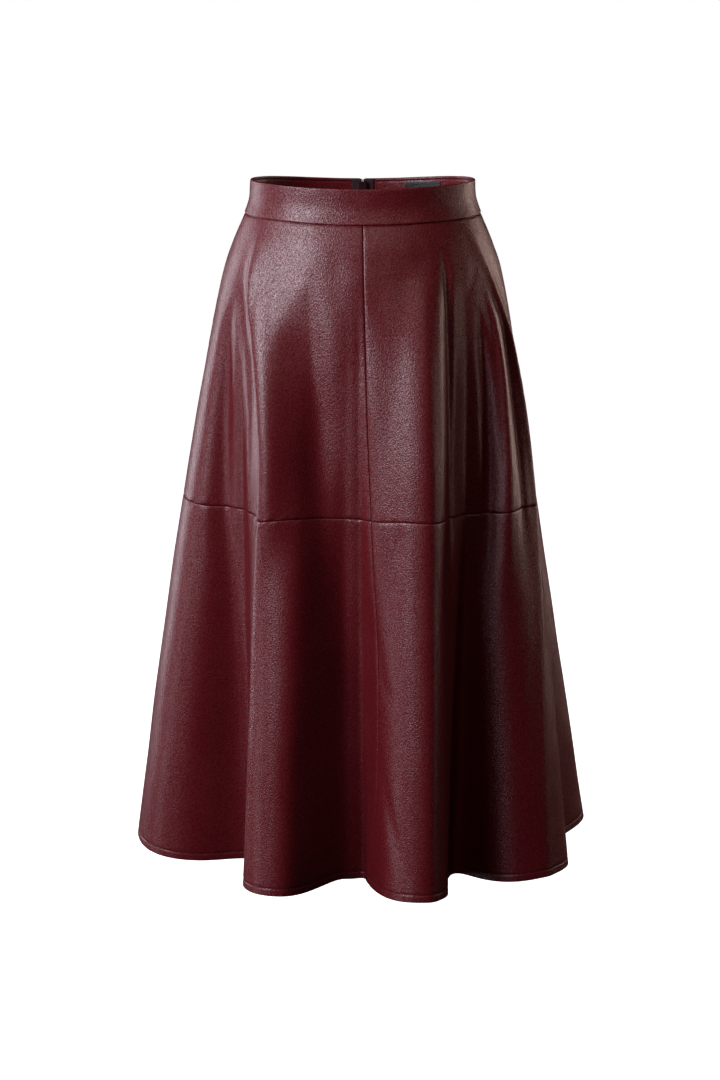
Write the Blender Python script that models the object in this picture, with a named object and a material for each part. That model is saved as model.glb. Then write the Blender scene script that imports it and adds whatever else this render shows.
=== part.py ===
"""Leather skirt: a waistband with its facing, eight panels in two tiers, and a zip at the back.

The skirt keeps the hollow form it has when it is worn, with its folds hanging down to the hem.
Frame: +X to the wearer's left, -Y the front, +Z up. The origin is the middle of the waistband,
half way up it, where the waist holds the skirt. The sizes below are in millimetres.
"""

import math

import bmesh
import bpy
import numpy as np
from mathutils import Matrix, Vector

MM = 0.001

# Cloth
WALL = 1.2                  # leather with its backing
SEAM_GAP = 0.3              # between two pieces that meet
CLOTH_LENGTH = 760.0        # from the waist seam to the hem, along the cloth at the front
SIDE_EXTRA = 10.0           # the sides are cut longer, to pass over the hips
TIER_LENGTH = 327.0         # from the waist seam to the seam between the two tiers
TIER_SIDE_EXTRA = 6.0
FOLD_START = 60.0           # the folds begin this far below the waist seam
FOLD_POWER = 0.95           # a fold grows nearly evenly from there down to the hem
COLUMNS_PER_QUARTER = 24

# Waistband
BAND_TOP_SIDE = 21.5
BAND_TOP_DIP_FRONT = 2.5
BAND_TOP_DIP_BACK = 8.9
WAIST_SEAM_SIDE = -17.0
WAIST_SEAM_DIP_FRONT = 4.0
WAIST_SEAM_DIP_BACK = 10.0
BAND_LIFT = 0.7             # the slanting band stands this far above the panels, 0.3 mm clear of them
FACING_SHARE = 0.98         # of the waistband's height that its facing covers

# Zip
TAPE_WALL = 1.0
TAPE_WIDTH = 12.0
TAPE_SLIT_HALF = 1.1        # half the slit between the two tapes
ZIP_END = 150.0             # below the waist seam, along the cloth
COIL_HALF = 2.5
COIL_DEPTH = 2.0
COIL_TOP = 3.0
SLIDER_HALF = 4.2
SLIDER_WALL = 1.2
SLIDER_TOP = 9.0
SLIDER_BOTTOM = -4.0
SLIDER_GAP = 0.4            # between the slider and the coil or the tapes
NECK_HALF = 0.7
NECK_BOTTOM = 3.6
NECK_TOP = 8.5
EAR_RADIUS = 2.2
EAR_HOLE_RADIUS = 1.1
PULL_OUT = 3.4              # from the back of the waistband to the pull's axis
PULL_HEIGHT = 6.3           # of the pull's axis above the origin
PULL_TILT = 9.0             # degrees, from straight down to where the pull lies
PULL_BAR_HALF = 0.6
PULL_EYE_HALF = 1.0
PULL_EYE_LENGTH = 3.4
PULL_EYE_CUT = 2.0
PULL_HALF = 2.3
PULL_LENGTH = 20.0

# Label
LABEL_WALL = 0.6
LABEL_TOP = 0.12            # as a share of the waistband's height, down from its top
LABEL_BOTTOM = 0.46
LABEL_FIRST_COLUMN = 34     # columns of the waistband, counted from the centre front
LABEL_LAST_COLUMN = 41

# The cloth with its folds smoothed out: rings from the waist seam down
# section, below the waist seam, half width, depth to the front, depth to the back
SECTIONS = (
    ("waist seam", 0.0, 135.5, 98.0, 98.0),
    ("belly", 25.0, 146.5, 108.0, 111.0),
    ("high hip", 60.0, 159.0, 117.0, 122.0),
    ("hip", 115.0, 171.5, 127.0, 137.0),
    ("low hip", 180.0, 183.0, 135.0, 149.0),
    ("tier seam", 327.0, 207.0, 150.0, 168.0),
    ("knee", 540.0, 236.0, 168.0, 190.0),
    ("hem", 760.0, 262.0, 186.0, 208.0),
)

# The waistband: rings from its top to the waist seam
# section, share of its height from the top, half width, depth to the front, depth to the back
BAND_SECTIONS = (
    ("top edge", 0.0, 129.0, 92.0, 92.0),
    ("middle", 0.5, 130.2, 93.2, 93.2),
    ("spring", 0.8, 133.3, 96.0, 96.0),
    ("waist seam", 1.0, 136.3, 99.0, 99.0),
)

# The waistband's ends, either side of the zip at the centre back
# share of its height from the top, opening between its ends
BAND_OPENING = (
    (0.0, 6.0),
    (0.5, 3.4),
    (0.8, 2.8),
    (1.0, 2.4),
)

# The folds at the hem, seen from above: each row is a point that the hem passes through
# fold, x, y, heading of the hem there in degrees, fullness of its curve
FOLDS = (
    ("centre front seam", 4.0, -150.0, -82.0, 18.0),
    ("centre flute crest", 58.0, -246.0, 2.0, 34.0),
    ("centre flute edge", 98.0, -196.0, 92.0, 24.0),
    ("left front valley", 112.0, -116.0, -10.0, 14.0),
    ("left front crest", 184.0, -162.0, 4.0, 34.0),
    ("left shoulder", 243.0, -104.0, 92.0, 26.0),
    ("left side valley", 228.0, -30.0, 82.0, 22.0),
    ("left back crest", 275.0, 52.0, 92.0, 34.0),
    ("left back valley", 216.0, 118.0, 140.0, 26.0),
    ("back left crest", 150.0, 200.0, 172.0, 40.0),
    ("back left valley", 74.0, 168.0, 176.0, 26.0),
    ("centre back seam", 0.0, 206.0, 180.0, 34.0),
    ("back right valley", -70.0, 164.0, 186.0, 24.0),
    ("back right crest", -150.0, 236.0, 196.0, 44.0),
    ("right back valley", -214.0, 122.0, 238.0, 34.0),
    ("right side crest", -275.0, 2.0, 272.0, 40.0),
    ("right flank crest", -226.0, -78.0, 350.0, 32.0),
    ("right front valley", -134.0, -66.0, -20.0, 14.0),
    ("right flute edge", -139.0, -168.0, -88.0, 20.0),
    ("right front crest", -95.0, -220.0, 4.0, 32.0),
    ("centre valley", -20.0, -142.0, -4.0, 20.0),
)
HALF_FOLD_ROWS = [row[0] for row in FOLDS].index("centre back seam")

# Rows of the cloth's solids
BAND_ROWS = (0.0, 0.5, 0.8, 1.0)
UPPER_ROWS = (0.0, 0.055, 0.12, 0.2, 0.33, 0.46, 0.6, 0.79, 1.0)
LOWER_ROWS = (0.0, 0.2, 0.4, 0.6, 0.8, 1.0)

# piece, first and last share of the way round: 0 centre front, 0.25 left side, 0.5 centre back
QUARTERS = (
    ("front_left", 0.0, 0.25),
    ("back_left", 0.25, 0.5),
    ("back_right", 0.5, 0.75),
    ("front_right", 0.75, 1.0),
)

# How finely things are made and measured
PATH_STEPS = 60             # in a curve between two rows of FOLDS
RING_STEPS = 1200
SLOPE_STEP = 0.5            # length of cloth over which the skirt's slope is measured
BAND_SLOPE_STEP = 0.01      # share of the waistband's height, for the same
SHARE_STEP = 0.0005         # share of the way round, for the same
SMOOTH_ANGLE = 40.0         # degrees; a sharper edge stays an edge
EAR_SEGMENTS = 24
TIP_SEGMENTS = 32
INNER_SHARE = 0.999         # a joined part is this much smaller, so that no two faces coincide
CUT_MARGIN = 1.0            # a cutting box passes this far beyond what it cuts


def ease(at, stations, values):
    """Read a smooth curve through the stations, with no overshoot between them."""
    stations = np.asarray(stations, float)
    values = np.asarray(values, float)
    gaps = np.diff(stations)
    slopes = np.diff(values) / gaps
    tangents = np.zeros_like(values)
    tangents[0], tangents[-1] = slopes[0], slopes[-1]
    for i in range(1, len(stations) - 1):
        if slopes[i - 1] * slopes[i] > 0.0:
            first = 2.0 * gaps[i] + gaps[i - 1]
            second = gaps[i] + 2.0 * gaps[i - 1]
            tangents[i] = (first + second) / (first / slopes[i - 1] + second / slopes[i])
    i = np.clip(np.searchsorted(stations, at, side="right") - 1, 0, len(gaps) - 1)
    t = (at - stations[i]) / gaps[i]
    low = (1.0 + 2.0 * t) * (1.0 - t) ** 2 * values[i] + t * (1.0 - t) ** 2 * gaps[i] * tangents[i]
    high = t * t * (3.0 - 2.0 * t) * values[i + 1] + t * t * (t - 1.0) * gaps[i] * tangents[i + 1]
    return low + high


def spaced_path(points, shares):
    """Read an open path at shares of its own length."""
    points = np.asarray(points)
    steps = np.linalg.norm(np.diff(points, axis=0), axis=1)
    along = np.concatenate([[0.0], np.cumsum(steps)])
    at = np.asarray(shares) * along[-1]
    return np.stack([np.interp(at, along, points[:, k]) for k in range(2)], axis=-1)


def ring(left_path, right_path, shares):
    """Read a closed ring whose left half runs front to back and whose right half runs on."""
    shares = np.asarray(shares, float) % 1.0
    left = spaced_path(left_path, np.clip(2.0 * shares, 0.0, 1.0))
    right = spaced_path(right_path, np.clip(2.0 * shares - 1.0, 0.0, 1.0))
    return np.where((shares < 0.5)[..., None], left, right)


def plain_ring(half_width, front, back, shares):
    """Two half ellipses, with their own depths to the front and to the back."""
    angle = np.linspace(0.0, math.pi, RING_STEPS)
    depth = np.where(np.cos(angle) > 0.0, front, back)
    left = np.stack([half_width * np.sin(angle), -depth * np.cos(angle)], axis=-1)
    right = left[::-1] * (-1.0, 1.0)
    return ring(left, right, shares)


def fold_path():
    """Join the rows of FOLDS by smooth curves, and return the hem's left and right halves."""
    runs = []
    for here, there in zip(FOLDS, FOLDS[1:] + FOLDS[:1]):
        start = np.array(here[1:3])
        end = np.array(there[1:3])
        leave = math.radians(here[3])
        arrive = math.radians(there[3])
        first = start + here[4] * np.array([math.cos(leave), math.sin(leave)])
        second = end - there[4] * np.array([math.cos(arrive), math.sin(arrive)])
        t = np.linspace(0.0, 1.0, PATH_STEPS + 1)[:, None]
        curve = (1 - t) ** 3 * start + 3 * t * (1 - t) ** 2 * first
        curve = curve + 3 * t * t * (1 - t) * second + t ** 3 * end
        runs.append(curve)
    return np.vstack(runs[:HALF_FOLD_ROWS]), np.vstack(runs[HALF_FOLD_ROWS:])


HEM_LEFT, HEM_RIGHT = fold_path()


def dip(shares, front, back):
    """How far an edge hangs below its height at the sides."""
    turn = np.cos(2.0 * math.pi * shares)
    return np.where(turn > 0.0, front, back) * turn ** 2


def side_share(shares):
    """1 at the two sides, 0 at the centre front and the centre back."""
    return np.sin(2.0 * math.pi * shares) ** 2


def smooth_ring(down, shares):
    """The cloth's ring at one level, before its folds."""
    stations = [row[1] for row in SECTIONS]
    sizes = [float(ease(down, stations, [row[k] for row in SECTIONS])) for k in (2, 3, 4)]
    return plain_ring(*sizes, shares)


def skirt_point(down, shares):
    """A point of the skirt's outside, a length of cloth below the waist seam."""
    shares = np.asarray(shares, float)
    grown = max(0.0, (down - FOLD_START) / (CLOTH_LENGTH - FOLD_START)) ** FOLD_POWER
    hem = ring(HEM_LEFT, HEM_RIGHT, shares)
    plan = smooth_ring(down, shares) + grown * (hem - smooth_ring(CLOTH_LENGTH, shares))
    spread = np.linalg.norm(hem - smooth_ring(0.0, shares), axis=-1)
    drop = np.sqrt(CLOTH_LENGTH ** 2 - spread ** 2) + SIDE_EXTRA * side_share(shares)
    seam = WAIST_SEAM_SIDE - dip(shares, WAIST_SEAM_DIP_FRONT, WAIST_SEAM_DIP_BACK)
    height = seam - drop * down / CLOTH_LENGTH
    return np.concatenate([plan, height[..., None]], axis=-1)


def band_point(share_down, shares):
    """A point of the waistband's outside, a share of its height below its top."""
    shares = np.asarray(shares, float)
    stations = [row[1] for row in BAND_SECTIONS]
    sizes = [float(ease(share_down, stations, [row[k] for row in BAND_SECTIONS])) for k in (2, 3, 4)]
    plan = plain_ring(*sizes, shares)
    top = BAND_TOP_SIDE - dip(shares, BAND_TOP_DIP_FRONT, BAND_TOP_DIP_BACK)
    seam = WAIST_SEAM_SIDE - dip(shares, WAIST_SEAM_DIP_FRONT, WAIST_SEAM_DIP_BACK)
    height = top + (seam + BAND_LIFT - top) * share_down
    return np.concatenate([plan, height[..., None]], axis=-1)


def moved_in(surface, down, shares, depth, step):
    """A point of a surface, moved in along the surface's own normal."""
    around = surface(down, shares + SHARE_STEP) - surface(down, shares - SHARE_STEP)
    along = surface(down + step, shares) - surface(down - step if down >= step else down, shares)
    normal = np.cross(along, around)
    normal /= np.linalg.norm(normal, axis=-1)[..., None]
    return surface(down, shares) - depth * normal


def skirt_inside(down, shares, depth):
    return moved_in(skirt_point, down, shares, depth, SLOPE_STEP)


def band_inside(share_down, shares, depth):
    return moved_in(band_point, share_down, shares, depth, BAND_SLOPE_STEP)


def tier_seam(shares):
    """The length of cloth from the waist seam to the seam between the tiers."""
    return TIER_LENGTH + TIER_SIDE_EXTRA * side_share(shares)


def material(name, colour, roughness, metallic=0.0):
    finish = bpy.data.materials.new(name)
    finish.use_nodes = True
    shader = finish.node_tree.nodes["Principled BSDF"]
    shader.inputs["Base Color"].default_value = (*colour, 1.0)
    shader.inputs["Roughness"].default_value = roughness
    shader.inputs["Metallic"].default_value = metallic
    return finish


def place(name, mesh, finish):
    thing = bpy.data.objects.new(name, mesh)
    thing.data.materials.append(finish)
    bpy.context.scene.collection.objects.link(thing)
    return thing


def wall(name, outside, inside, finish):
    """Close two equal grids of points, rows by columns in millimetres, into one solid wall."""
    rows, columns = outside.shape[:2]
    shell = bmesh.new()
    front = [[shell.verts.new(point * MM) for point in row] for row in outside]
    back = [[shell.verts.new(point * MM) for point in row] for row in inside]

    def close(a, b, c, d):
        shell.faces.new((a, b, c))
        shell.faces.new((a, c, d))

    for r in range(rows - 1):
        for c in range(columns - 1):
            close(front[r][c], front[r + 1][c], front[r + 1][c + 1], front[r][c + 1])
            shell.faces.new((back[r][c], back[r + 1][c + 1], back[r + 1][c]))
            shell.faces.new((back[r][c], back[r][c + 1], back[r + 1][c + 1]))
    for r in range(rows - 1):
        close(front[r][0], back[r][0], back[r + 1][0], front[r + 1][0])
        close(back[r][-1], front[r][-1], front[r + 1][-1], back[r + 1][-1])
    for c in range(columns - 1):
        close(back[0][c], front[0][c], front[0][c + 1], back[0][c + 1])
        close(front[-1][c], back[-1][c], back[-1][c + 1], front[-1][c + 1])
    mesh = bpy.data.meshes.new(name)
    shell.to_mesh(mesh)
    shell.free()
    mesh.shade_smooth()
    mesh.set_sharp_from_angle(angle=math.radians(SMOOTH_ANGLE))
    return place(name, mesh, finish)


def girth(points):
    return float(np.linalg.norm(np.diff(points, axis=0), axis=1).sum())


def trimmed_shares(surface, down, first, last, gap, columns):
    """Shares between two seams, each stopping half the gap short of its seam."""
    whole = np.linspace(first, last, columns + 1)
    trim = 0.5 * gap / (girth(surface(down, whole)) / (last - first))
    return np.linspace(first + trim, last - trim, columns + 1)


def panel(name, first, last, start, end, rows, finish):
    """One panel of a tier, between two lengths of cloth that may differ round the skirt."""
    outside = []
    inside = []
    for row in rows:
        middle = float(start(0.5 * (first + last)) * (1.0 - row) + end(0.5 * (first + last)) * row)
        shares = trimmed_shares(skirt_point, middle, first, last, SEAM_GAP, COLUMNS_PER_QUARTER)
        downs = start(shares) * (1.0 - row) + end(shares) * row
        pairs = list(zip(downs, shares))
        outside.append([skirt_point(down, share) for down, share in pairs])
        inside.append([skirt_inside(down, share, WALL) for down, share in pairs])
    return wall(name, np.array(outside), np.array(inside), finish)


def panels(finish):
    """Eight panels, four to a tier."""
    for name, first, last in QUARTERS:
        panel("upper_" + name, first, last, lambda share: 0.0 * share,
              lambda share: tier_seam(share) - 0.5 * SEAM_GAP, UPPER_ROWS, finish)
        panel("lower_" + name, first, last, lambda share: tier_seam(share) + 0.5 * SEAM_GAP,
              lambda share: CLOTH_LENGTH + 0.0 * share, LOWER_ROWS, finish)


def band_shares(share_down):
    """The waistband starts and ends at the centre back, at the edges of the zip's opening."""
    opening = np.interp(share_down, [row[0] for row in BAND_OPENING], [row[1] for row in BAND_OPENING])
    return trimmed_shares(band_point, share_down, 0.5, 1.5, opening, 4 * COLUMNS_PER_QUARTER)


def waistband(leather):
    outside = [band_inside(row, band_shares(row), 0.0) for row in BAND_ROWS]
    inside = [band_inside(row, band_shares(row), WALL) for row in BAND_ROWS]
    wall("waistband", np.array(outside), np.array(inside), leather)


def facing(leather):
    """The waistband's inner layer, a little shorter than the band."""
    outer = WALL + SEAM_GAP
    rows = BAND_ROWS[:-1] + (FACING_SHARE,)
    outside = [band_inside(row, band_shares(row), outer) for row in rows]
    inside = [band_inside(row, band_shares(row), outer + WALL) for row in rows]
    wall("waistband_facing", np.array(outside), np.array(inside), leather)


def label(satin):
    """A blank label on the facing, on the left of the back."""
    outer = 2.0 * (WALL + SEAM_GAP)
    columns = np.arange(LABEL_FIRST_COLUMN, LABEL_LAST_COLUMN + 1)
    shares = columns / (4.0 * COLUMNS_PER_QUARTER)
    rows = (LABEL_TOP, 0.5 * (LABEL_TOP + LABEL_BOTTOM), LABEL_BOTTOM)
    outside = [band_inside(row, shares, outer) for row in rows]
    inside = [band_inside(row, shares, outer + LABEL_WALL) for row in rows]
    wall("label", np.array(outside), np.array(inside), satin)


def zip_rows(last_down):
    """Rows down the centre back: each is a surface's inside, its row and its own layers' depth."""
    layers = 2.0 * (WALL + SEAM_GAP)
    rows = [(band_inside, row, layers) for row in BAND_ROWS[:-1]]
    rows.append((band_inside, FACING_SHARE, layers))
    rows.append((skirt_inside, 0.0, layers))
    upper = [row * TIER_LENGTH for row in UPPER_ROWS[1:]]
    for down in [down for down in upper if down < last_down] + [last_down]:
        rows.append((skirt_inside, down, WALL + 2.0 * SEAM_GAP))
    return rows


def centre_strip(rows, near, far, depth, thickness, columns=2):
    """Points of a strip beside the centre back, from near to far along X, in two layers."""
    outside = []
    inside = []
    across = np.linspace(near, far, columns + 1)
    for inside_of, row, layers in rows:
        ends = inside_of(row, np.array([0.5 - SHARE_STEP, 0.5 + SHARE_STEP]), 0.0)
        shares = 0.5 - across * 2.0 * SHARE_STEP / (ends[0][0] - ends[1][0])
        outside.append(inside_of(row, shares, layers + depth))
        inside.append(inside_of(row, shares, layers + depth + thickness))
    return np.array(outside), np.array(inside)


def zip_tapes(fabric):
    rows = zip_rows(ZIP_END)
    far = TAPE_SLIT_HALF + TAPE_WIDTH
    wall("zip_tape_left", *centre_strip(rows, far, TAPE_SLIT_HALF, 0.0, TAPE_WALL), fabric)
    wall("zip_tape_right", *centre_strip(rows, -TAPE_SLIT_HALF, -far, 0.0, TAPE_WALL), fabric)


def zip_coil(nylon):
    """The closed coil, from just under the slider to near the tapes' ends."""
    top = BAND_TOP_SIDE - BAND_TOP_DIP_BACK
    seam = WAIST_SEAM_SIDE - WAIST_SEAM_DIP_BACK
    first = (top - COIL_TOP) / (top - seam)
    rows = [row for row in zip_rows(ZIP_END - TAPE_WIDTH) if row[0] is skirt_inside or row[1] > first]
    rows.insert(0, (band_inside, first, 2.0 * (WALL + SEAM_GAP)))
    depth = TAPE_WALL + 2.0 * SEAM_GAP
    wall("zip_coil", *centre_strip(rows, COIL_HALF, -COIL_HALF, depth, COIL_DEPTH), nylon)


def box(low, high):
    """A box in millimetres, as a mesh to join or to cut with."""
    shell = bmesh.new()
    bmesh.ops.create_cube(shell, size=1.0)
    low, high = Vector(low), Vector(high)
    bmesh.ops.scale(shell, vec=(high - low) * MM, verts=shell.verts)
    bmesh.ops.translate(shell, vec=(high + low) * 0.5 * MM, verts=shell.verts)
    mesh = bpy.data.meshes.new("box")
    shell.to_mesh(mesh)
    shell.free()
    return mesh


def round_bar(radius, half_length, centre):
    """A round bar along X, in millimetres."""
    shell = bmesh.new()
    turn = Matrix.Translation(Vector(centre) * MM) @ Matrix.Rotation(math.radians(90.0), 4, "Y")
    bmesh.ops.create_cone(shell, cap_ends=True, segments=EAR_SEGMENTS, radius1=radius * MM,
                          radius2=radius * MM, depth=2.0 * half_length * MM, matrix=turn)
    mesh = bpy.data.meshes.new("bar")
    shell.to_mesh(mesh)
    shell.free()
    return mesh


def combine(thing, operation, mesh, name):
    """Join a helper mesh to a piece, or cut the piece with it, and keep only the piece."""
    helper = bpy.data.objects.new(name, mesh)
    helper.hide_render = True
    helper.display_type = "WIRE"
    bpy.context.scene.collection.objects.link(helper)
    step = thing.modifiers.new(name, "BOOLEAN")
    step.operation = operation
    step.solver = "EXACT"
    step.object = helper


def back_of_band():
    """The waistband's outside at the centre back, level with the pull's axis."""
    top = BAND_TOP_SIDE - BAND_TOP_DIP_BACK
    seam = WAIST_SEAM_SIDE - WAIST_SEAM_DIP_BACK
    return float(band_point((top - PULL_HEIGHT) / (top - seam), np.array(0.5))[1])


def zip_slider(metal):
    """A channel round the coil, with a neck that passes out at the back and ends in an ear."""
    back = back_of_band()
    tape_face = back - 2.0 * (WALL + SEAM_GAP) - TAPE_WALL
    outer = tape_face - SLIDER_GAP
    channel = outer - COIL_DEPTH - 2.0 * SLIDER_GAP
    inner = channel - SLIDER_WALL
    body = box((-SLIDER_HALF, inner, SLIDER_BOTTOM), (SLIDER_HALF, outer, SLIDER_TOP))
    slider = place("zip_slider", body, metal)
    half_channel = COIL_HALF + SLIDER_GAP
    cut = box((-half_channel, channel, SLIDER_BOTTOM - CUT_MARGIN),
              (half_channel, outer + CUT_MARGIN, SLIDER_TOP + CUT_MARGIN))
    combine(slider, "DIFFERENCE", cut, "slider_channel")
    axis = back + PULL_OUT
    neck = box((-NECK_HALF, channel - 0.5 * SLIDER_WALL, NECK_BOTTOM), (NECK_HALF, axis, NECK_TOP))
    combine(slider, "UNION", neck, "slider_neck")
    ear = round_bar(EAR_RADIUS, NECK_HALF * INNER_SHARE, (0.0, axis, PULL_HEIGHT))
    combine(slider, "UNION", ear, "slider_ear")
    hole = round_bar(EAR_HOLE_RADIUS, 4.0 * NECK_HALF, (0.0, axis, PULL_HEIGHT))
    combine(slider, "DIFFERENCE", hole, "slider_ear_hole")


def zip_pull(metal):
    """A flat tab whose top bar hangs in the slider's ear; it turns about that bar."""
    bottom = -PULL_LENGTH
    body = box((-PULL_HALF, -PULL_BAR_HALF, bottom + PULL_HALF), (PULL_HALF, PULL_BAR_HALF, PULL_BAR_HALF))
    pull = place("zip_pull", body, metal)
    shell = bmesh.new()
    turn = Matrix.Translation(Vector((0.0, 0.0, bottom + PULL_HALF)) * MM)
    turn = turn @ Matrix.Rotation(math.radians(90.0), 4, "X")
    tip_radius = PULL_HALF * INNER_SHARE * MM
    bmesh.ops.create_cone(shell, cap_ends=True, segments=TIP_SEGMENTS, radius1=tip_radius,
                          radius2=tip_radius, depth=2.0 * PULL_BAR_HALF * INNER_SHARE * MM, matrix=turn)
    tip = bpy.data.meshes.new("tip")
    shell.to_mesh(tip)
    shell.free()
    eye = box((-PULL_EYE_HALF, -PULL_EYE_CUT, -PULL_EYE_LENGTH),
              (PULL_EYE_HALF, PULL_EYE_CUT, -PULL_BAR_HALF))
    pull.location = Vector((0.0, back_of_band() + PULL_OUT, PULL_HEIGHT)) * MM
    pull.rotation_euler = (math.radians(PULL_TILT), 0.0, 0.0)
    for operation, mesh, name in (("UNION", tip, "pull_tip"), ("DIFFERENCE", eye, "pull_eye")):
        combine(pull, operation, mesh, name)
        helper = bpy.data.objects[name]
        helper.parent = pull


def main():
    for thing in list(bpy.data.objects):
        bpy.data.objects.remove(thing, do_unlink=True)
    leather = material("burgundy leather", (0.115, 0.014, 0.021), 0.42)
    satin = material("black satin", (0.012, 0.012, 0.013), 0.55)
    fabric = material("zip tape fabric", (0.035, 0.009, 0.012), 0.85)
    nylon = material("moulded nylon", (0.055, 0.012, 0.017), 0.45)
    metal = material("painted metal", (0.09, 0.016, 0.022), 0.35)
    waistband(leather)
    facing(leather)
    panels(leather)
    label(satin)
    zip_tapes(fabric)
    zip_coil(nylon)
    zip_slider(metal)
    zip_pull(metal)


main()
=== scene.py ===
"""The leather skirt's looks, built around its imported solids."""

import math

import bpy
import numpy as np
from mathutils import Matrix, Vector


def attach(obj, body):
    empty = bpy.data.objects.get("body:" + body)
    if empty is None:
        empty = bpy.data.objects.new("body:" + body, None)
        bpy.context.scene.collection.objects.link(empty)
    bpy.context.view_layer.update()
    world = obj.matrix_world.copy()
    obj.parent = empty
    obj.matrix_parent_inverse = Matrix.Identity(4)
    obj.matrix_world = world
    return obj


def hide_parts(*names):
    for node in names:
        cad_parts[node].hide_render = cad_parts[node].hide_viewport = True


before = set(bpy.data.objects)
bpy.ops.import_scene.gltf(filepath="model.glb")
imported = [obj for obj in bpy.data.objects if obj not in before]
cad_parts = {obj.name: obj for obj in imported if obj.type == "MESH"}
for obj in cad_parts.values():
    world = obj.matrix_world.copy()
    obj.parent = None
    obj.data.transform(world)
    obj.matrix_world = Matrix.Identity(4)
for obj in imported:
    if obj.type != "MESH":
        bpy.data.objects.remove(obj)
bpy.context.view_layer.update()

MM = 0.001

# ---------------------------------------------------------------------------
# Sizes, in millimetres. The form is the one that the solids have.

CLOTH_LENGTH = 760.0        # waist seam to hem, along the cloth
SIDE_EXTRA = 10.0
TIER_LENGTH = 327.0         # waist seam to the seam between the tiers
TIER_SIDE_EXTRA = 6.0
FOLD_START = 60.0
FOLD_POWER = 0.95
BAND_TOP_SIDE = 21.5
BAND_TOP_DIPS = (2.5, 8.9)          # front, back
WAIST_SEAM_SIDE = -17.0
WAIST_SEAM_DIPS = (4.0, 10.0)       # front, back
BAND_LIFT = 0.7

LEATHER = 0.9               # the leather's real thickness
SEAM_GAP = 0.3
HEM_TURNING = 11.0          # the hem allowance, turned up inside
HEM_STITCH = 9.0            # the topstitching above the hem's edge
BAND_ROLL = 1.5             # outer radius of the waistband's rolled top edge
BAND_FACE_START = 0.0375    # share of the waistband's height at which its flat face starts
BAND_HEIGHT = 39.0          # along the cloth, at the front
TAIL_ROWS = (1.6, 1.0, 0.4)         # the rolled edge's tail, down from the top inside
ROLL_ANGLES = np.arange(170.0, 0.0, -17.0)      # degrees round the rolled edge, from inside to outside
TUCK = 1.0                  # how far the skirt's top edge goes up between the waistband and its facing
FACING_START = 3.8          # below the waistband's top
FACING_DEPTH = 2.7          # from the waistband's outside to the facing's inside
FACING_ROUND = 0.35         # how far the facing's top edge turns towards the waistband

# how wide the waistband stands open over the zip, at shares of its height from its top
BAND_OPENING = ((0.0, 6.0), (0.5, 3.4), (0.8, 2.8), (1.0, 2.4))

# how deep a seam sinks, and how far to its sides that reaches
SIDE_SINK = (0.45, 2.4)
TIER_SINK = (0.35, 2.2)
WAIST_SINK = (0.3, 2.4)
BAND_SINK = (0.1, 2.0)

# how far the gathers beside a seam reach, and how high they are
SIDE_PUCKER = (6.0, 0.16)
TIER_PUCKER = (6.0, 0.34)
WAIST_PUCKER = (8.0, 0.10)
HEM_PUCKER = (6.0, 0.12)
BAND_PUCKER = (5.0, 0.07)
FACING_PUCKER = (6.0, 0.08)

TAPE = 0.8                  # thickness of the zip's woven tapes
TAPE_WIDTH = 12.0
TAPE_SLIT_HALF = 1.1        # half the slit between the two tapes
TAPE_RISE = 0.005           # share of the waistband's height at which the tapes end
ZIP_END = 150.0             # below the waist seam, along the cloth
ZIP_DEPTHS = (3.15, 1.95)   # of the tapes' outer face inside the waistband and inside the skirt
COIL_START = 0.035
COIL_PITCH = 1.5
COIL_APART = 1.9            # between the middles of the two chains of turns
COIL_UNDER = 2.15           # from the tapes' outer face to the middle of the coil
COIL_SIZE = (1.35, 0.8)     # half width and half depth of one turn
COIL_WIRE = 0.3
COIL_LEAN = 0.16            # radians

LABEL = 0.4                 # the label's thickness
LABEL_DEPTH = 3.55          # from the waistband's outside to the label's inside
LABEL_ROWS = (0.15, 0.46)           # shares of the waistband's height
LABEL_SHARES = (34.5 / 96.0, 41.0 / 96.0)

STITCH_PITCH = 3.4
STITCH_LENGTH = 2.8
STITCH_THREAD = 0.5
STITCH_ABOVE = 0.12         # from the cloth's face to the middle of a stitch
STITCH_GROOVE = (0.5, 1.1)          # depth and half width of the groove that the stitches pull in

# section, below the waist seam, half width, depth to the front, depth to the back
SECTIONS = (
    ("waist seam", 0.0, 135.5, 98.0, 98.0),
    ("belly", 25.0, 146.5, 108.0, 111.0),
    ("high hip", 60.0, 159.0, 117.0, 122.0),
    ("hip", 115.0, 171.5, 127.0, 137.0),
    ("low hip", 180.0, 183.0, 135.0, 149.0),
    ("tier seam", 327.0, 207.0, 150.0, 168.0),
    ("knee", 540.0, 236.0, 168.0, 190.0),
    ("hem", 760.0, 262.0, 186.0, 208.0),
)

# section, share of the waistband's height from its top, half width, depth front, depth back
BAND_SECTIONS = (
    ("top edge", 0.0, 129.0, 92.0, 92.0),
    ("middle", 0.5, 130.2, 93.2, 93.2),
    ("spring", 0.8, 133.3, 96.0, 96.0),
    ("waist seam", 1.0, 136.3, 99.0, 99.0),
)

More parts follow.
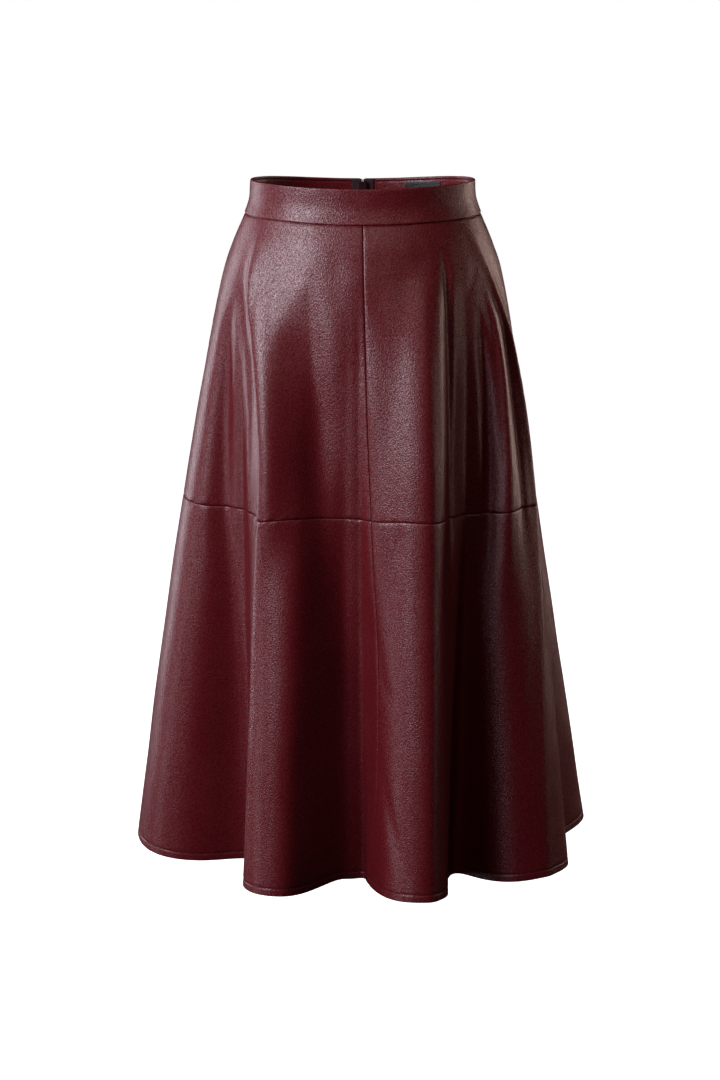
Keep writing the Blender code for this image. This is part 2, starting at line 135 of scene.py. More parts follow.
# fold at the hem, seen from above: x, y, heading of the hem in degrees, fullness of its curve
FOLDS = (
    ("centre front seam", 4.0, -150.0, -82.0, 18.0),
    ("centre flute crest", 58.0, -246.0, 2.0, 34.0),
    ("centre flute edge", 98.0, -196.0, 92.0, 24.0),
    ("left front valley", 112.0, -116.0, -10.0, 14.0),
    ("left front crest", 184.0, -162.0, 4.0, 34.0),
    ("left shoulder", 243.0, -104.0, 92.0, 26.0),
    ("left side valley", 228.0, -30.0, 82.0, 22.0),
    ("left back crest", 275.0, 52.0, 92.0, 34.0),
    ("left back valley", 216.0, 118.0, 140.0, 26.0),
    ("back left crest", 150.0, 200.0, 172.0, 40.0),
    ("back left valley", 74.0, 168.0, 176.0, 26.0),
    ("centre back seam", 0.0, 206.0, 180.0, 34.0),
    ("back right valley", -70.0, 164.0, 186.0, 24.0),
    ("back right crest", -150.0, 236.0, 196.0, 44.0),
    ("right back valley", -214.0, 122.0, 238.0, 34.0),
    ("right side crest", -275.0, 2.0, 272.0, 40.0),
    ("right flank crest", -226.0, -78.0, 350.0, 32.0),
    ("right front valley", -134.0, -66.0, -20.0, 14.0),
    ("right flute edge", -139.0, -168.0, -88.0, 20.0),
    ("right front crest", -95.0, -220.0, 4.0, 32.0),
    ("centre valley", -20.0, -142.0, -4.0, 20.0),
)
HALF_FOLD_ROWS = [row[0] for row in FOLDS].index("centre back seam")

# how far round the centre front seam wanders, at lengths below the waist seam
SEAM_DRIFT = ((0.0, 0.0), (200.0, 0.004), (324.0, 0.0095), (532.0, 0.0225), (640.0, 0.0205), (760.0, 0.0065))
DRIFT_REACH = 0.12

# crease, then its stations: length below the waist seam, share round, half width on the side before
# it and on the side after it, height off the smooth form (a trough is negative)
CREASES = (
    ("right flank trough", (
        (84, -0.186, 6, 6, 0), (130, -0.190, 10, 9, -4.0), (220, -0.190, 15, 13, -9.0),
        (320, -0.186, 17, 16, -10.0), (440, -0.178, 22, 20, -10.0), (600, -0.176, 28, 28, -11.0),
        (760, -0.174, 28, 28, -4.0))),
    ("right flank ridge", (
        (80, -0.172, 6, 6, 0), (150, -0.160, 8, 7, 2.6), (240, -0.151, 9, 8, 3.4),
        (330, -0.149, 10, 9, 2.6), (420, -0.150, 11, 11, 1.0), (500, -0.152, 12, 12, 0))),
    ("right front fold", (
        (20, -0.160, 8, 20, 0), (50, -0.158, 7, 26, 4), (84, -0.152, 7, 32, 11),
        (124, -0.140, 7, 38, 19), (172, -0.127, 7, 40, 26), (216, -0.118, 7, 38, 28),
        (265, -0.110, 8, 34, 25), (320, -0.108, 8, 32, 21), (400, -0.109, 9, 26, 13),
        (500, -0.107, 10, 24, 8), (620, -0.102, 11, 22, 5), (760, -0.099, 12, 20, 0))),
    ("right front ridge", (
        (0, -0.163, 14, 18, 0), (44, -0.158, 9, 14, 2.4), (84, -0.1535, 4, 6, 2.0),
        (160, -0.1500, 4, 5, 0))),
    ("right front hollow", (
        (64, -0.071, 9, 8, 0), (100, -0.069, 22, 18, -5), (150, -0.064, 34, 24, -11),
        (220, -0.056, 40, 28, -14), (300, -0.050, 40, 28, -11), (380, -0.045, 38, 30, -6),
        (480, -0.040, 36, 34, 0))),
    ("centre swell", (
        (40, 0.000, 40, 40, 0), (110, 0.002, 44, 46, 5), (210, 0.006, 46, 46, 9),
        (320, 0.010, 44, 42, 9), (430, 0.014, 36, 34, 5), (560, 0.020, 34, 30, 0))),
    ("seam recess", (
        (400, 0.006, 7, 7, 0), (500, 0.010, 10, 7, -3.6), (612, 0.008, 12, 8, -5.0),
        (700, 0.000, 13, 11, -3.2), (760, -0.006, 14, 14, -1.5))),
    ("front flute corner", (
        (40, 0.084, 14, 16, 0), (110, 0.080, 26, 30, 11), (180, 0.079, 30, 32, 18),
        (250, 0.078, 30, 32, 19), (330, 0.077, 28, 26, 15), (416, 0.074, 24, 14, 11),
        (528, 0.072, 23, 12, 10), (644, 0.070, 22, 12, 8), (760, 0.069, 20, 12, 4))),
    ("left front groove", (
        (24, 0.1145, 4, 4, 0), (84, 0.1085, 5, 6, -4.6), (152, 0.1065, 6, 7, -7.4),
        (240, 0.1050, 6, 8, -7.6), (320, 0.1070, 7, 9, -5.6), (420, 0.110, 9, 10, 0))),
    ("left front lip", (
        (40, 0.0985, 6, 6, 0), (110, 0.0935, 6, 5, 1.0), (200, 0.0905, 6, 5, 1.4),
        (304, 0.0905, 7, 6, 1.0), (390, 0.092, 9, 8, 0))),
    ("left small dent", (
        (44, 0.161, 4, 4, 0), (62, 0.153, 6, 6, -1.0), (92, 0.137, 6, 6, 0))),
    ("left side trough", (
        (96, 0.158, 5, 4, 0), (140, 0.163, 9, 6, -5.0), (200, 0.168, 12, 7, -9.0),
        (270, 0.168, 14, 8, -10.0), (350, 0.164, 16, 10, -7.0), (470, 0.156, 18, 16, 0))),
    ("left side ridge", (
        (4, 0.174, 10, 9, 0), (48, 0.183, 8, 7, 2.4), (84, 0.195, 6, 6, 4.2), (140, 0.212, 6, 5, 6.4),
        (216, 0.222, 6, 5, 6.6), (300, 0.222, 7, 6, 5.2), (400, 0.214, 8, 7, 3.6),
        (600, 0.203, 9, 8, 2.6), (760, 0.200, 10, 9, 1.4))),
    ("left side hollow", (
        (100, 0.200, 5, 5, 0), (160, 0.204, 6, 5, -4.4), (230, 0.206, 7, 6, -6.0),
        (320, 0.203, 8, 7, -4.6), (430, 0.198, 10, 9, 0))),
    ("left side second ridge", (
        (70, 0.172, 6, 6, 0), (116, 0.184, 5, 7, 3.4), (184, 0.188, 6, 8, 6.0), (260, 0.186, 6, 9, 6.0),
        (340, 0.182, 8, 10, 3.4), (430, 0.176, 10, 12, 0))),
    ("left hip swell", (
        (40, 0.285, 40, 40, 0), (150, 0.285, 46, 46, 3.2), (260, 0.285, 50, 50, 4.4),
        (420, 0.285, 54, 54, 3.0), (600, 0.285, 54, 54, 0))),
    ("flute dimple", (
        (430, 0.014, 8, 8, 0), (480, 0.024, 10, 9, -2.0), (510, 0.030, 11, 10, -2.4),
        (548, 0.044, 12, 12, 0))),
    ("flute high dimple", (
        (328, 0.046, 6, 5, 0), (352, 0.045, 7, 6, -1.4), (392, 0.042, 7, 7, 0))),
    ("flute low dimple", (
        (590, 0.026, 9, 7, 0), (640, 0.036, 11, 7, -2.6), (690, 0.046, 12, 8, -3.0),
        (752, 0.058, 12, 9, 0))),
    ("back left hollow", (
        (60, 0.395, 12, 12, 0), (140, 0.392, 22, 20, -4.0), (260, 0.386, 30, 26, -7.0),
        (430, 0.380, 32, 32, 0))),
    ("back left crease", (
        (30, 0.338, 5, 5, 0), (120, 0.345, 7, 6, -3.0), (230, 0.352, 9, 7, -4.4), (340, 0.356, 10, 9, 0))),
    ("back left side ridge", (
        (80, 0.300, 8, 8, 0), (180, 0.306, 10, 8, 4.0), (330, 0.310, 12, 10, 3.0),
        (460, 0.312, 14, 14, 0))),
    ("back right hollow", (
        (40, 0.590, 10, 10, 0), (150, 0.600, 22, 26, -5.0), (290, 0.612, 28, 32, -6.4),
        (470, 0.620, 34, 34, 0))),
    ("back right crease", (
        (90, 0.655, 5, 5, 0), (190, 0.650, 6, 8, -3.2), (300, 0.648, 7, 9, -4.0),
        (390, 0.650, 10, 10, 0))),
    ("back right side ridge", (
        (60, 0.700, 8, 8, 0), (170, 0.704, 8, 10, 3.4), (280, 0.702, 9, 12, 4.2),
        (420, 0.700, 14, 14, 0))),
    ("back low crease", (
        (470, 0.444, 7, 7, 0), (560, 0.448, 11, 9, -2.8), (640, 0.455, 12, 10, -2.6),
        (730, 0.462, 12, 12, 0))),
    ("back right low crease", (
        (420, 0.560, 8, 8, 0), (520, 0.556, 10, 12, -2.4), (620, 0.552, 12, 12, 0))),
)

SIDEWAYS = 0.35             # creases rise mostly forward or back, and only at the sides sideways

QUARTERS = (
    ("front_left", 0.0, 0.25),
    ("back_left", 0.25, 0.5),
    ("back_right", 0.5, 0.75),
    ("front_right", 0.75, 1.0),
)

EDGE_STEPS = (0.22, 0.55, 1.0, 1.8, 3.0)     # rows and columns close to a seam
STEP = 3.2                                  # rows further from it
MIDDLE_COLUMNS = 112                        # across one panel
BAND_COLUMNS = 380
BAND_EDGE = 0.0125                          # share of the waistband's height for each 1 of EDGE_STEPS
HEM_ROWS = (-2.0, -1.0, -0.4, 0.4, 1.0, 2.0)        # rows beside the topstitching
HEM_CLEAR = 2.5                             # no other row lies nearer to it
PATH_STEPS = 60
RING_STEPS = 1200


# ---------------------------------------------------------------------------
# The cloth's form

def ease(at, stations, values):
    """Read a smooth curve through the stations, with no overshoot between them."""
    stations = np.asarray(stations, float)
    values = np.asarray(values, float)
    gaps = np.diff(stations)
    slopes = np.diff(values) / gaps
    tangents = np.zeros_like(values)
    tangents[0], tangents[-1] = slopes[0], slopes[-1]
    for i in range(1, len(stations) - 1):
        if slopes[i - 1] * slopes[i] > 0.0:
            first = 2.0 * gaps[i] + gaps[i - 1]
            second = gaps[i] + 2.0 * gaps[i - 1]
            tangents[i] = (first + second) / (first / slopes[i - 1] + second / slopes[i])
    i = np.clip(np.searchsorted(stations, at, side="right") - 1, 0, len(gaps) - 1)
    t = (at - stations[i]) / gaps[i]
    low = (1.0 + 2.0 * t) * (1.0 - t) ** 2 * values[i] + t * (1.0 - t) ** 2 * gaps[i] * tangents[i]
    high = t * t * (3.0 - 2.0 * t) * values[i + 1] + t * t * (t - 1.0) * gaps[i] * tangents[i + 1]
    return low + high


def spaced_path(points, shares):
    """Read an open path at shares of its own length."""
    points = np.asarray(points)
    steps = np.linalg.norm(np.diff(points, axis=0), axis=1)
    along = np.concatenate([[0.0], np.cumsum(steps)])
    at = np.asarray(shares) * along[-1]
    return np.stack([np.interp(at, along, points[:, k]) for k in range(2)], axis=-1)


def ring(left_path, right_path, shares):
    """Read a closed ring whose left half runs front to back and whose right half runs on."""
    shares = np.asarray(shares, float) % 1.0
    left = spaced_path(left_path, np.clip(2.0 * shares, 0.0, 1.0))
    right = spaced_path(right_path, np.clip(2.0 * shares - 1.0, 0.0, 1.0))
    return np.where((shares < 0.5)[..., None], left, right)


def plain_ring(half_width, front, back, shares):
    """Two half ellipses, with their own depths to the front and to the back."""
    angle = np.linspace(0.0, math.pi, RING_STEPS)
    depth = np.where(np.cos(angle) > 0.0, front, back)
    left = np.stack([half_width * np.sin(angle), -depth * np.cos(angle)], axis=-1)
    return ring(left, left[::-1] * (-1.0, 1.0), shares)


def fold_path():
    """Join the rows of FOLDS by smooth curves, and return the hem's left and right halves."""
    runs = []
    for here, there in zip(FOLDS, FOLDS[1:] + FOLDS[:1]):
        start = np.array(here[1:3])
        end = np.array(there[1:3])
        leave = math.radians(here[3])
        arrive = math.radians(there[3])
        first = start + here[4] * np.array([math.cos(leave), math.sin(leave)])
        second = end - there[4] * np.array([math.cos(arrive), math.sin(arrive)])
        t = np.linspace(0.0, 1.0, PATH_STEPS + 1)[:, None]
        curve = (1 - t) ** 3 * start + 3 * t * (1 - t) ** 2 * first
        curve = curve + 3 * t * t * (1 - t) * second + t ** 3 * end
        runs.append(curve)
    return np.vstack(runs[:HALF_FOLD_ROWS]), np.vstack(runs[HALF_FOLD_ROWS:])


HEM_LEFT, HEM_RIGHT = fold_path()


def dip(shares, front, back):
    """How far a line round the waist drops below its height at the sides."""
    turn = np.cos(2.0 * math.pi * shares)
    return np.where(turn > 0.0, front, back) * turn ** 2


def side_share(shares):
    """One at both sides, and nothing at the centre front and back."""
    return np.sin(2.0 * math.pi * shares) ** 2


def sized_ring(table, at, shares):
    """The ring that a table of sections gives at one level."""
    stations = [row[1] for row in table]
    sizes = [float(ease(at, stations, [row[k] for row in table])) for k in (2, 3, 4)]
    return plain_ring(*sizes, shares)


def skirt_point(down, shares):
    """A point of the skirt's outside, a length of cloth below the waist seam."""
    shares = np.asarray(shares, float)
    grown = max(0.0, (down - FOLD_START) / (CLOTH_LENGTH - FOLD_START)) ** FOLD_POWER
    hem = ring(HEM_LEFT, HEM_RIGHT, shares)
    plan = sized_ring(SECTIONS, down, shares)
    plan = plan + grown * (hem - sized_ring(SECTIONS, CLOTH_LENGTH, shares))
    spread = np.linalg.norm(hem - sized_ring(SECTIONS, 0.0, shares), axis=-1)
    drop = np.sqrt(CLOTH_LENGTH ** 2 - spread ** 2) + SIDE_EXTRA * side_share(shares)
    height = WAIST_SEAM_SIDE - dip(shares, *WAIST_SEAM_DIPS) - drop * down / CLOTH_LENGTH
    return np.concatenate([plan, height[..., None]], axis=-1)


def band_point(share_down, shares):
    """A point of the waistband's outside, a share of its height below its top."""
    shares = np.asarray(shares, float)
    plan = sized_ring(BAND_SECTIONS, share_down, shares)
    top = BAND_TOP_SIDE - dip(shares, *BAND_TOP_DIPS)
    seam = WAIST_SEAM_SIDE - dip(shares, *WAIST_SEAM_DIPS)
    height = top + (seam + BAND_LIFT - top) * share_down
    return np.concatenate([plan, height[..., None]], axis=-1)


def outward(points, closed):
    """Unit normals of a grid of points, rows down and columns to the wearer's left round the back."""
    down = np.gradient(points, axis=0)
    if closed:
        around = np.roll(points, -1, axis=1) - np.roll(points, 1, axis=1)
    else:
        around = np.gradient(points, axis=1)
    normal = np.cross(down, around)
    return normal / np.linalg.norm(normal, axis=-1)[..., None]


def girth(points):
    """The length of a line of points."""
    return float(np.linalg.norm(np.diff(points, axis=0), axis=1).sum())


def seam_spaced(length, step=None, count=None):
    """Distances from 0 to length, close together near both ends."""
    near = np.array(EDGE_STEPS)
    if count is None:
        count = int(round((length - 2.0 * near[-1]) / step))
    middle = np.linspace(near[-1], length - near[-1], count + 1)[1:-1]
    return np.concatenate([near, middle, length - near[::-1]])


# ---------------------------------------------------------------------------
# Creases, seams and the leather's own unevenness, as heights off the smooth form

def crease_heights(shares, downs, girths):
    """Soft ridges and troughs that wander down the cloth and fade out at their ends."""
    height = np.zeros_like(shares)
    for _, stations in CREASES:
        down, *rest = (list(column) for column in zip(*stations))
        at = np.clip(downs, down[0], down[-1])
        share, before, after, rise = (ease(at, down, column) for column in rest)
        across = ((shares - share + 0.5) % 1.0 - 0.5) * girths
        height += rise * np.exp(-(across / np.where(across < 0.0, before, after)) ** 2)
    return height


def unevenness(shares, downs):
    """Slow swells that a hanging skin always has, well under a millimetre."""
    turn = 2.0 * math.pi * shares
    swell = 0.30 * np.sin(9 * turn + 0.9 + downs / 61.0) * np.sin(downs / 47.0 + 2.0 * np.sin(3 * turn))
    swell += 0.22 * np.sin(17 * turn + downs / 38.0 + 1.7) * np.sin(downs / 83.0 + 0.4)
    swell += 0.14 * np.sin(31 * turn - downs / 29.0 + 0.3) * np.sin(downs / 33.0 + 1.1 + 5 * turn)
    return swell


def pucker(along, away, reach, rise):
    """Small gathers across a seam, strongest at it."""
    wave = np.sin(along / 2.3 + 1.3 * np.sin(along / 11.0)) + 0.7 * np.sin(along / 3.7 + 0.5)
    wave *= 0.55 + 0.45 * np.sin(along / 23.0 + 1.9)
    return rise * wave * np.exp(-(away / reach) ** 2)


def seam_heights(away, depth, reach):
    """The cloth sinks into a pressed seam, and its folded edge is rounded."""
    sink = depth * np.exp(-(away / reach) ** 2)
    edge = 0.9 * np.clip(1.0 - away / 1.5, 0.0, 1.0) ** 2
    return -(sink + edge)


# ---------------------------------------------------------------------------
# Meshes

def show(name, data):
    """Put a mesh, a light or a camera in the scene."""
    thing = bpy.data.objects.new(name, data)
    bpy.context.scene.collection.objects.link(thing)
    return thing


def shell(name, outside, inside, materials, inner_slots=None):
    """Close two equal grids, rows down and columns round, into one thin shell with its own UV map."""
    rows, columns = outside.shape[:2]
    count = rows * columns
    points = np.concatenate([outside.reshape(-1, 3), inside.reshape(-1, 3)]) * MM
    index = np.arange(count).reshape(rows, columns)

    def quads(a, b, c, d):
        return np.stack([a, b, c, d], axis=-1).reshape(-1, 4)

    a, b = index[:-1, :-1], index[1:, :-1]
    c, d = index[1:, 1:], index[:-1, 1:]
    outer = quads(a, b, c, d)
    inner = quads(a, d, c, b) + count
    left = quads(index[:-1, 0], index[:-1, 0] + count, index[1:, 0] + count, index[1:, 0])
    right = quads(index[:-1, -1] + count, index[:-1, -1], index[1:, -1], index[1:, -1] + count)
    top = quads(index[0, :-1] + count, index[0, :-1], index[0, 1:], index[0, 1:] + count)
    bottom = quads(index[-1, :-1], index[-1, :-1] + count, index[-1, 1:] + count, index[-1, 1:])
    faces = np.concatenate([outer, inner, left, right, top, bottom])
    slots = np.zeros(len(faces), np.int32)
    if inner_slots is not None:
        slots[len(outer):2 * len(outer)] = np.repeat(inner_slots, columns - 1)
    mesh = bpy.data.meshes.new(name)
    mesh.from_pydata(points.tolist(), [], faces.tolist())
    for material in materials:
        mesh.materials.append(material)
    mesh.polygons.foreach_set("material_index", slots)
    across = np.concatenate([np.zeros((rows, 1)),
                             np.cumsum(np.linalg.norm(np.diff(outside, axis=1), axis=-1), axis=1)], axis=1)
    along = np.concatenate([np.zeros((1, columns)),
                            np.cumsum(np.linalg.norm(np.diff(outside, axis=0), axis=-1), axis=0)], axis=0)
    flat = np.stack([across, along], axis=-1).reshape(-1, 2) * MM
    uv = mesh.uv_layers.new(name="cloth")
    corners = np.zeros(len(mesh.loops), np.int32)
    mesh.loops.foreach_get("vertex_index", corners)
    uv.data.foreach_set("uv", flat[corners % count].astype(np.float32).ravel())
    mesh.shade_smooth()
    mesh.update()
    return show(name, mesh), float(across[:, -1].max()) * MM, float(along[-1].max()) * MM


def stand_for(thing, node):
    """Hang a sheet on the skirt, and hide the solid that it is shown for."""
    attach(thing, "skirt")
    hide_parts(node)


# ---------------------------------------------------------------------------
# Materials

def linear(code):
    """An sRGB hex colour as the linear colour that a shader takes."""
    parts = [int(code[i:i + 2], 16) / 255.0 for i in (1, 3, 5)]
    return [p / 12.92 if p <= 0.04045 else ((p + 0.055) / 1.055) ** 2.4 for p in parts] + [1.0]


def feed(node, inputs):
    """Set each input of a node to a value, or link it to another node's output."""
    for name, value in inputs.items():
        if isinstance(value, bpy.types.NodeSocket):
            node.id_data.links.new(value, node.inputs[name])
        else:
            node.inputs[name].default_value = value


def add(tree, kind, inputs=None, **settings):
    """Add a node with its settings and inputs."""
    node = tree.nodes.new(kind)
    for name, value in settings.items():
        setattr(node, name, value)
    feed(node, inputs or {})
    return node


def two_tone(tree, factor, dark, light):
    """A colour between a dark one and a light one."""
    mix = add(tree, "ShaderNodeMix", {0: factor, 6: linear(dark), 7: linear(light)}, data_type="RGBA")
    return mix.outputs[2]


def ranged(tree, value, low, high, new_low=0.0, new_high=1.0):
    """Move values between low and high to a new range, held at its ends."""
    moved = add(tree, "ShaderNodeMapRange", {"Value": value, "From Min": low, "From Max": high,
                                             "To Min": new_low, "To Max": new_high})
    return moved.outputs["Result"]


def relief(tree, height, strength, depth):
    """The normal of a surface that a pattern raises."""
    bump = add(tree, "ShaderNodeBump", {"Height": height, "Strength": strength, "Distance": depth})
    return bump.outputs["Normal"]


def new_material(name):
    """A material with one Principled shader, and the node that gives a place on the piece."""
    material = bpy.data.materials.new(name)
    material.use_nodes = True
    tree = material.node_tree
    tree.nodes.clear()
    shader = add(tree, "ShaderNodeBsdfPrincipled")
    add(tree, "ShaderNodeOutputMaterial", {"Surface": shader.outputs["BSDF"]})
    place = add(tree, "ShaderNodeTexCoord")
    return material, tree, shader, place


def grained_leather():
    """Chrome-tanned hide, drum-dyed burgundy and plated with a fine pebble grain under a soft finish.

    The pebbles break up the sheen into fine specks, and the finish is unevenly rubbed, so that a lit
    fold is mottled while a shaded one stays deep and even. Real pebbles of this grain are about
    0.9 mm; they are drawn twice as coarse so that they are still seen with the whole skirt in view.
    """
    material, tree, shader, place = new_material("grained dyed leather")
    where = place.outputs["Object"]
    pebble = add(tree, "ShaderNodeTexVoronoi", {"Vector": where, "Scale": 1.0 / (1.7 * MM),
                                                "Smoothness": 0.7}, feature="SMOOTH_F1")
    pore = add(tree, "ShaderNodeTexNoise", {"Vector": where, "Scale": 1.0 / (1.5 * MM), "Detail": 1.0})
    blotch = add(tree, "ShaderNodeTexNoise", {"Vector": where, "Scale": 1.0 / (40.0 * MM), "Detail": 5.0,
                                              "Roughness": 0.6})
    cell = ranged(tree, pebble.outputs["Distance"], 0.15, 0.65)
    spot = ranged(tree, pore.outputs["Fac"], 0.3, 0.7)
    rise = add(tree, "ShaderNodeMath", {0: spot, 1: cell}, operation="SUBTRACT").outputs["Value"]
    feed(shader, {"Base Color": two_tone(tree, spot, "#500a10", "#63131b"),
                  "Specular IOR Level": ranged(tree, rise, -0.8, 0.8, 0.25, 1.0),
                  "Roughness": ranged(tree, blotch.outputs["Fac"], 0.3, 0.7, 0.36, 0.42),
                  "Normal": relief(tree, rise, 0.5, 0.25 * MM)})
    return material


def suede_side():
    """The flesh side of the same hide, buffed to a short nap and dyed through: matt, dark and uneven."""
    material, tree, shader, place = new_material("leather flesh side")
    where = place.outputs["Object"]
    nap = add(tree, "ShaderNodeTexNoise", {"Vector": where, "Scale": 1.0 / (1.2 * MM), "Detail": 5.0})
    brushed = add(tree, "ShaderNodeTexNoise", {"Vector": where, "Scale": 1.0 / (22.0 * MM), "Detail": 3.0})
    mixed = add(tree, "ShaderNodeMath", {0: nap.outputs["Fac"], 1: brushed.outputs["Fac"]},
                operation="MULTIPLY")
    tone = ranged(tree, mixed.outputs["Value"], 0.12, 0.4)
    feed(shader, {"Base Color": two_tone(tree, tone, "#3f1519", "#5c262b"), "Roughness": 0.95,
                  "Sheen Weight": 0.25, "Normal": relief(tree, nap.outputs["Fac"], 0.6, 0.3 * MM)})
    return material


def woven(name, thread, dark, light, gloss):
    """Woven polyester: fine threads cross in a check that follows the piece's own flat cut."""
    material, tree, shader, _ = new_material(name)
    cloth = add(tree, "ShaderNodeUVMap", uv_map="cloth").outputs["UV"]
    waves = []
    for direction in ("X", "Y"):
        # at this scale a wave repeats once for each thread
        waves.append(add(tree, "ShaderNodeTexWave", {"Vector": cloth, "Scale": 0.314 / thread,
                                                     "Distortion": 0.4, "Detail": 1.0},
                         bands_direction=direction).outputs["Fac"])
    raised = add(tree, "ShaderNodeMath", {0: waves[0], 1: waves[1]}, operation="MAXIMUM").outputs["Value"]
    feed(shader, {"Base Color": two_tone(tree, raised, dark, light), "Roughness": gloss,
                  "Normal": relief(tree, raised, 0.5, thread * 0.4)})
    return material


def moulded(name, code, gloss, metallic=0.0, grit=0.4):
    """A moulded, spun or cast surface: one colour, with a gloss that is slightly uneven."""
    material, tree, shader, place = new_material(name)
    speck = add(tree, "ShaderNodeTexNoise", {"Vector": place.outputs["Object"], "Scale": 1.0 / (grit * MM),
                                             "Detail": 3.0}).outputs["Fac"]
    feed(shader, {"Base Color": linear(code), "Metallic": metallic,
                  "Roughness": ranged(tree, speck, 0.0, 1.0, gloss - 0.08, gloss + 0.1),
                  "Normal": relief(tree, speck, 0.2, 0.05 * MM)})
    return material


LEATHER_FACE = grained_leather()
LEATHER_BACK = suede_side()
TAPE_CLOTH = woven("woven zip tape", 0.5 * MM, "#170507", "#2f0c11", 0.85)
SATIN = woven("satin ribbon", 0.35 * MM, "#08090a", "#17181a", 0.42)
THREAD = moulded("spun polyester thread", "#2c0b10", 0.6, grit=0.3)
NYLON = moulded("nylon coil", "#4a2025", 0.4)
ENAMEL = moulded("enamelled zinc", "#32161a", 0.32, metallic=0.3)


# ---------------------------------------------------------------------------
# The skirt's panels

def skirt_grid():
    """The whole skirt as one grid: rows down both tiers, columns round all four quarters."""
    upper = seam_spaced(TIER_LENGTH, step=STEP)
    lower = TIER_LENGTH + seam_spaced(CLOTH_LENGTH - TIER_LENGTH, step=STEP)
    lower = np.union1d(lower[np.abs(lower - CLOTH_LENGTH + HEM_STITCH) > HEM_CLEAR],
                       CLOTH_LENGTH - HEM_STITCH + np.array(HEM_ROWS))
    levels = np.concatenate([upper, lower])
    stretch = np.where(levels < TIER_LENGTH, levels / TIER_LENGTH,
                       (CLOTH_LENGTH - levels) / (CLOTH_LENGTH - TIER_LENGTH))
    points, shares, places, downs, girths = [], [], [], [], []
    for level, give in zip(levels, stretch):
        row = []
        whole = 0.0
        for _, first, last in QUARTERS:
            width = girth(skirt_point(level, np.linspace(first, last, 160)))
            steps = seam_spaced(width, count=MIDDLE_COLUMNS) / width
            row.append(first + (last - first) * steps)
            whole += width
        row = np.concatenate(row)
        extra = TIER_SIDE_EXTRA * give
        drift = float(ease(level, *zip(*SEAM_DRIFT)))
        near = np.clip(1.0 - np.abs((row + 0.5) % 1.0 - 0.5) / DRIFT_REACH, 0.0, 1.0)
        worn = row + drift * near * near * (3.0 - 2.0 * near)
        here = skirt_point(level, worn)
        there = skirt_point(min(level + extra, CLOTH_LENGTH), worn) if extra > 0.01 else here
        points.append(here + (there - here) * side_share(worn)[:, None])
        shares.append(row)
        places.append(worn)
        downs.append(np.full_like(row, level))
        girths.append(np.full_like(row, whole))
    grids = [np.array(grid) for grid in (points, shares, places, downs, girths)]
    return *grids, len(upper)


def build_skirt():
    """All eight panels: each one's outer and inner grids, its normals and its lengths down the cloth."""
    points, shares, places, downs, girths, upper_rows = skirt_grid()
    columns = points.shape[1] // 4
    side = np.abs((shares * 4.0 + 0.5) % 1.0 - 0.5) / 4.0 * girths
    tier = np.abs(downs - TIER_LENGTH)
    to_hem = CLOTH_LENGTH - downs
    plain = np.array([sized_ring(SECTIONS, row[0], place) for row, place in zip(downs, places)])
    around = np.roll(plain, -1, axis=1) - np.roll(plain, 1, axis=1)
    out = np.stack([SIDEWAYS * around[..., 1], -around[..., 0], 0.0 * downs], axis=-1)
    out /= np.linalg.norm(out, axis=-1)[..., None]
    points = points + crease_heights(places, downs, girths)[..., None] * out
    normals = outward(points, closed=True)
    height = unevenness(shares, downs) * np.clip(downs / 40.0, 0.0, 1.0)
    height += seam_heights(side, *SIDE_SINK) + seam_heights(tier, *TIER_SINK)
    height += seam_heights(downs, *WAIST_SINK)
    height += pucker(downs, side, *SIDE_PUCKER) + pucker(shares * girths, tier, *TIER_PUCKER)
    height += pucker(shares * girths + 40.0, downs, *WAIST_PUCKER)
    height += pucker(shares * girths + 90.0, to_hem - HEM_STITCH, *HEM_PUCKER)
    height -= STITCH_GROOVE[0] * np.exp(-((to_hem - HEM_STITCH) / STITCH_GROOVE[1]) ** 2)
    outside = points + height[..., None] * normals
    normals = outward(outside, closed=True)
    turned = to_hem < HEM_TURNING
    thick = np.where(turned, 2.0 * LEATHER + SEAM_GAP, LEATHER)
    rounding = np.where(turned, 0.5 * thick * np.clip(1.0 - 2.0 * to_hem / thick, 0.0, 1.0) ** 2, 0.0)
    face = outside - rounding[..., None] * normals
    back = outside - (thick - rounding)[..., None] * normals

    # the top edge goes up between the waistband and its facing
    band = np.array([band_point(1.0 - (TUCK + more) / BAND_HEIGHT, places[0]) for more in (0.0, 1.0)])[::-1]
    inward = outward(band, closed=True)[1]
    face = np.concatenate([[band[1] - (LEATHER + 0.1) * inward], face])
    back = np.concatenate([[band[1] - (2.0 * LEATHER - 0.1) * inward], back])
    normals = np.concatenate([normals[:1], normals])
    downs = np.concatenate([downs[:1], downs])

    # the inner edges of neighbouring panels meet, so that no light comes through a seam
    for first in range(0, back.shape[1], columns):
        back[:, first - 1] = back[:, first] = 0.5 * (back[:, first - 1] + back[:, first])
    back[upper_rows] = back[upper_rows + 1] = 0.5 * (back[upper_rows] + back[upper_rows + 1])
    pieces = {}
    for tier_name, rows in (("upper", slice(0, upper_rows + 1)), ("lower", slice(upper_rows + 1, None))):
        for number, (quarter, _, _) in enumerate(QUARTERS):
            span = slice(number * columns, (number + 1) * columns)
            pieces[tier_name + "_" + quarter] = (face[rows, span], back[rows, span],
                                                 normals[rows, span], downs[rows, span])
    return pieces


def make_panel(node, face, back, downs):
    """One panel: grain outside, flesh side inside, and on the lower tier a turned-up hem."""
    slots = np.where(CLOTH_LENGTH - downs[1:, 0] < HEM_TURNING, 0, 1)
    thing, width, length = shell(node + "_leather", face, back, [LEATHER_FACE, LEATHER_BACK], slots)
    stand_for(thing, node)


PANELS = build_skirt()
for node, (face, back, _, downs) in PANELS.items():
    make_panel(node, face, back, downs)


# ---------------------------------------------------------------------------
# The waistband, its facing and the label

